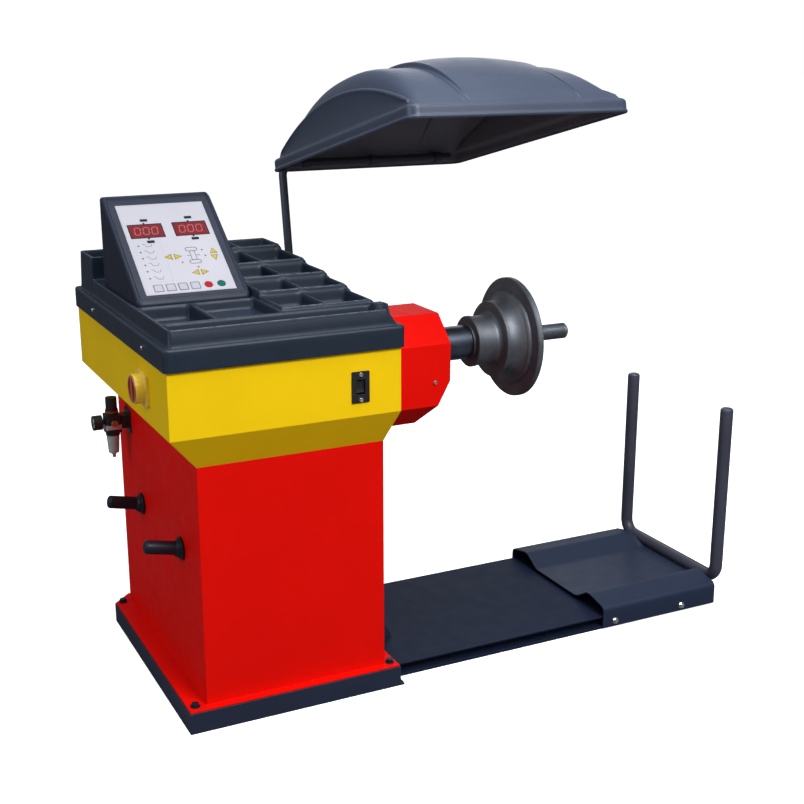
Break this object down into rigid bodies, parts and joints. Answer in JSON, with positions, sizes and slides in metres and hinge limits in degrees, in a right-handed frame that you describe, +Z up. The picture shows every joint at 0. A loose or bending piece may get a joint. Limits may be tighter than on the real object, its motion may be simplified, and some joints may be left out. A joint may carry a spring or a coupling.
{
  "type": "wheel balancer",
  "caption": "Truck wheel balancer: cabinet with weight tray and display console, spindle with flange disc, hinged wheel guard and pneumatic wheel lift.",
  "frame": {"origin": "on the floor under the middle of the cabinet", "axes": "+Z up; +X along the spindle from the cabinet to the wheel; -Y towards the operator"},
  "size_m": [1.7945, 0.9732, 1.6301],
  "materials": {
    "navy_paint": "fine textured dark blue-grey paint",
    "red_paint": "smooth semi-gloss red paint",
    "yellow_paint": "smooth semi-gloss yellow paint",
    "hood_plastic": "moulded charcoal plastic with a soft sheen",
    "tray_plastic": "moulded charcoal plastic, fine grain",
    "black_plastic": "black plastic",
    "grey_steel": "machined steel",
    "cast_disc": "machined cast iron, lightly speckled",
    "bright_steel": "bright zinc plated steel",
    "motor_paint": "cast aluminium, grey",
    "belt_rubber": "black rubber",
    "panel_film": "white membrane film with a faint violet tint",
    "red_window": "dark red filter window with lit digits",
    "board_green": "green circuit board",
    "key_white": "white membrane key",
    "key_red": "red membrane key",
    "key_teal": "teal membrane key",
    "switch_yellow": "yellow switch body",
    "switch_red": "red-brown switch handle",
    "bowl_clear": "translucent grey bowl",
    "fitting_brass": "plated brass",
    "needle_paint": "black needle",
    "black_bolt": "blackened steel",
    "gauge_case_paint": "black enamelled case"
  },
  "bodies": {
    "machine": {"air_fittings": "fitting_brass", "base_pan": "navy_paint", "bearing_tube": "grey_steel", "cabinet_shell": "red_paint", "cable_gland": "black_plastic", "console_housing": "tray_plastic", "console_panel": "panel_film", "display_board": "board_green", "display_windows": "red_window", "drive_belt": "belt_rubber", "drive_motor": "motor_paint", "filter_bowl": "bowl_clear", "flange_bolts": "black_bolt", "force_sensors": "bright_steel", "gauge_case": "gauge_case_paint", "head_shell": "yellow_paint", "hood_bearings": "navy_paint", "lift_columns": "grey_steel", "lift_cylinder": "motor_paint", "lift_switch_plate": "black_plastic", "main_switch_body": "switch_yellow", "motor_bracket": "navy_paint", "panel_screws": "bright_steel", "power_box": "navy_paint", "rear_door": "red_paint", "regulator_body": "black_plastic", "shaft_housing": "red_paint", "spindle_bearings": "grey_steel", "spindle_support": "navy_paint", "storage_peg_front": "black_bolt", "storage_peg_rear": "black_bolt", "weight_tray": "tray_plastic"},
    "spindle": {"spindle_shaft": "grey_steel", "spindle_hub": "cast_disc", "wheel_disc": "cast_disc", "spindle_screw": "grey_steel", "driven_pulley": "motor_paint", "encoder_disc": "black_plastic"},
    "motor_rotor": {"motor_pulley": "motor_paint"},
    "hood": {"hood_arm": "navy_paint", "hood_shell": "hood_plastic", "hood_clips": "grey_steel"},
    "lift": {"lift_rod": "grey_steel", "lift_slider": "navy_paint", "lift_track": "navy_paint"},
    "carriage": {"carriage_pan": "navy_paint", "axle_bolts": "bright_steel", "u_bar": "navy_paint"},
    "rollers_inner": {"carriage_rollers_inner": "grey_steel"},
    "rollers_outer": {"carriage_rollers_outer": "grey_steel"},
    "main_knob": {"main_switch_knob": "switch_red"},
    "rocker": {"lift_rocker": "black_plastic"},
    "reg_knob": {"regulator_knob": "black_plastic"},
    "needle": {"gauge_needle": "needle_paint"},
    "button_a": {"key_a": "key_white"},
    "button_b": {"key_b": "key_white"},
    "button_c": {"key_c": "key_white"},
    "button_d": {"key_d": "key_white"},
    "button_stop": {"key_stop": "key_red"},
    "button_start": {"key_start": "key_teal"}
  },
  "joints": [
    {"name": "spindle_spin", "type": "hinge", "parent": "machine", "child": "spindle", "pos_m": [0.6, -0.098, 0.858], "axis": [1, 0, 0], "continuous": true},
    {"name": "motor_spin", "type": "hinge", "parent": "machine", "child": "motor_rotor", "pos_m": [-0.09, 0.16, 0.584], "axis": [1, 0, 0], "continuous": true},
    {"name": "hood_swing", "type": "hinge", "parent": "machine", "child": "hood", "pos_m": [0.25, 0.422, 0.89], "axis": [1, 0, 0], "range_deg": [0, 25]},
    {"name": "lift_rise", "type": "slide", "parent": "machine", "child": "lift", "axis": [0, 0, 1], "range_m": [0, 0.32]},
    {"name": "carriage_slide", "type": "slide", "parent": "lift", "child": "carriage", "axis": [-1, 0, 0], "range_m": [0, 0.45]},
    {"name": "rollers_inner_roll", "type": "hinge", "parent": "carriage", "child": "rollers_inner", "pos_m": [1.018, -0.098, 0.0215], "axis": [0, -1, 0], "range_deg": [-5, 2000]},
    {"name": "rollers_outer_roll", "type": "hinge", "parent": "carriage", "child": "rollers_outer", "pos_m": [1.262, -0.098, 0.0215], "axis": [0, -1, 0], "range_deg": [-5, 2000]},
    {"name": "main_switch_turn", "type": "hinge", "parent": "machine", "child": "main_knob", "pos_m": [-0.35, -0.236, 0.872], "axis": [-1, 0, 0], "range_deg": [0, 90]},
    {"name": "lift_switch_tilt", "type": "hinge", "parent": "machine", "child": "rocker", "pos_m": [0.158, -0.42, 0.863], "axis": [1, 0, 0], "range_deg": [-12, 12], "stiffness_Nm_per_rad": 0.3},
    {"name": "regulator_turn", "type": "hinge", "parent": "machine", "child": "reg_knob", "pos_m": [-0.297, 0.262, 0.69], "axis": [0, 0, -1], "range_deg": [0, 1080]},
    {"name": "needle_sweep", "type": "hinge", "parent": "machine", "child": "needle", "pos_m": [-0.348, 0.262, 0.65], "axis": [1, 0, 0], "range_deg": [0, 270]},
    {"name": "key_a_press", "type": "slide", "parent": "machine", "child": "button_a", "axis": [0, 0.5827, -0.8127], "range_m": [0, 0.0008], "stiffness_N_per_m": 1500, "springref_m": -0.0005},
    {"name": "key_b_press", "type": "slide", "parent": "machine", "child": "button_b", "axis": [0, 0.5827, -0.8127], "range_m": [0, 0.0008], "stiffness_N_per_m": 1500, "springref_m": -0.0005},
    {"name": "key_c_press", "type": "slide", "parent": "machine", "child": "button_c", "axis": [0, 0.5827, -0.8127], "range_m": [0, 0.0008], "stiffness_N_per_m": 1500, "springref_m": -0.0005},
    {"name": "key_d_press", "type": "slide", "parent": "machine", "child": "button_d", "axis": [0, 0.5827, -0.8127], "range_m": [0, 0.0008], "stiffness_N_per_m": 1500, "springref_m": -0.0005},
    {"name": "key_stop_press", "type": "slide", "parent": "machine", "child": "button_stop", "axis": [0, 0.5827, -0.8127], "range_m": [0, 0.0008], "stiffness_N_per_m": 1500, "springref_m": -0.0005},
    {"name": "key_start_press", "type": "slide", "parent": "machine", "child": "button_start", "axis": [0, 0.5827, -0.8127], "range_m": [0, 0.0008], "stiffness_N_per_m": 1500, "springref_m": -0.0005}
  ],
  "couplings": [
    {"joint": "motor_spin", "follows": "spindle_spin", "ratio": 2.8667},
    {"joint": "rollers_inner_roll", "follows": "carriage_slide", "rad_per_m": 76.923},
    {"joint": "rollers_outer_roll", "follows": "carriage_slide", "rad_per_m": 76.923},
    {"joint": "needle_sweep", "follows": "regulator_turn", "ratio": 0.25}
  ]
}
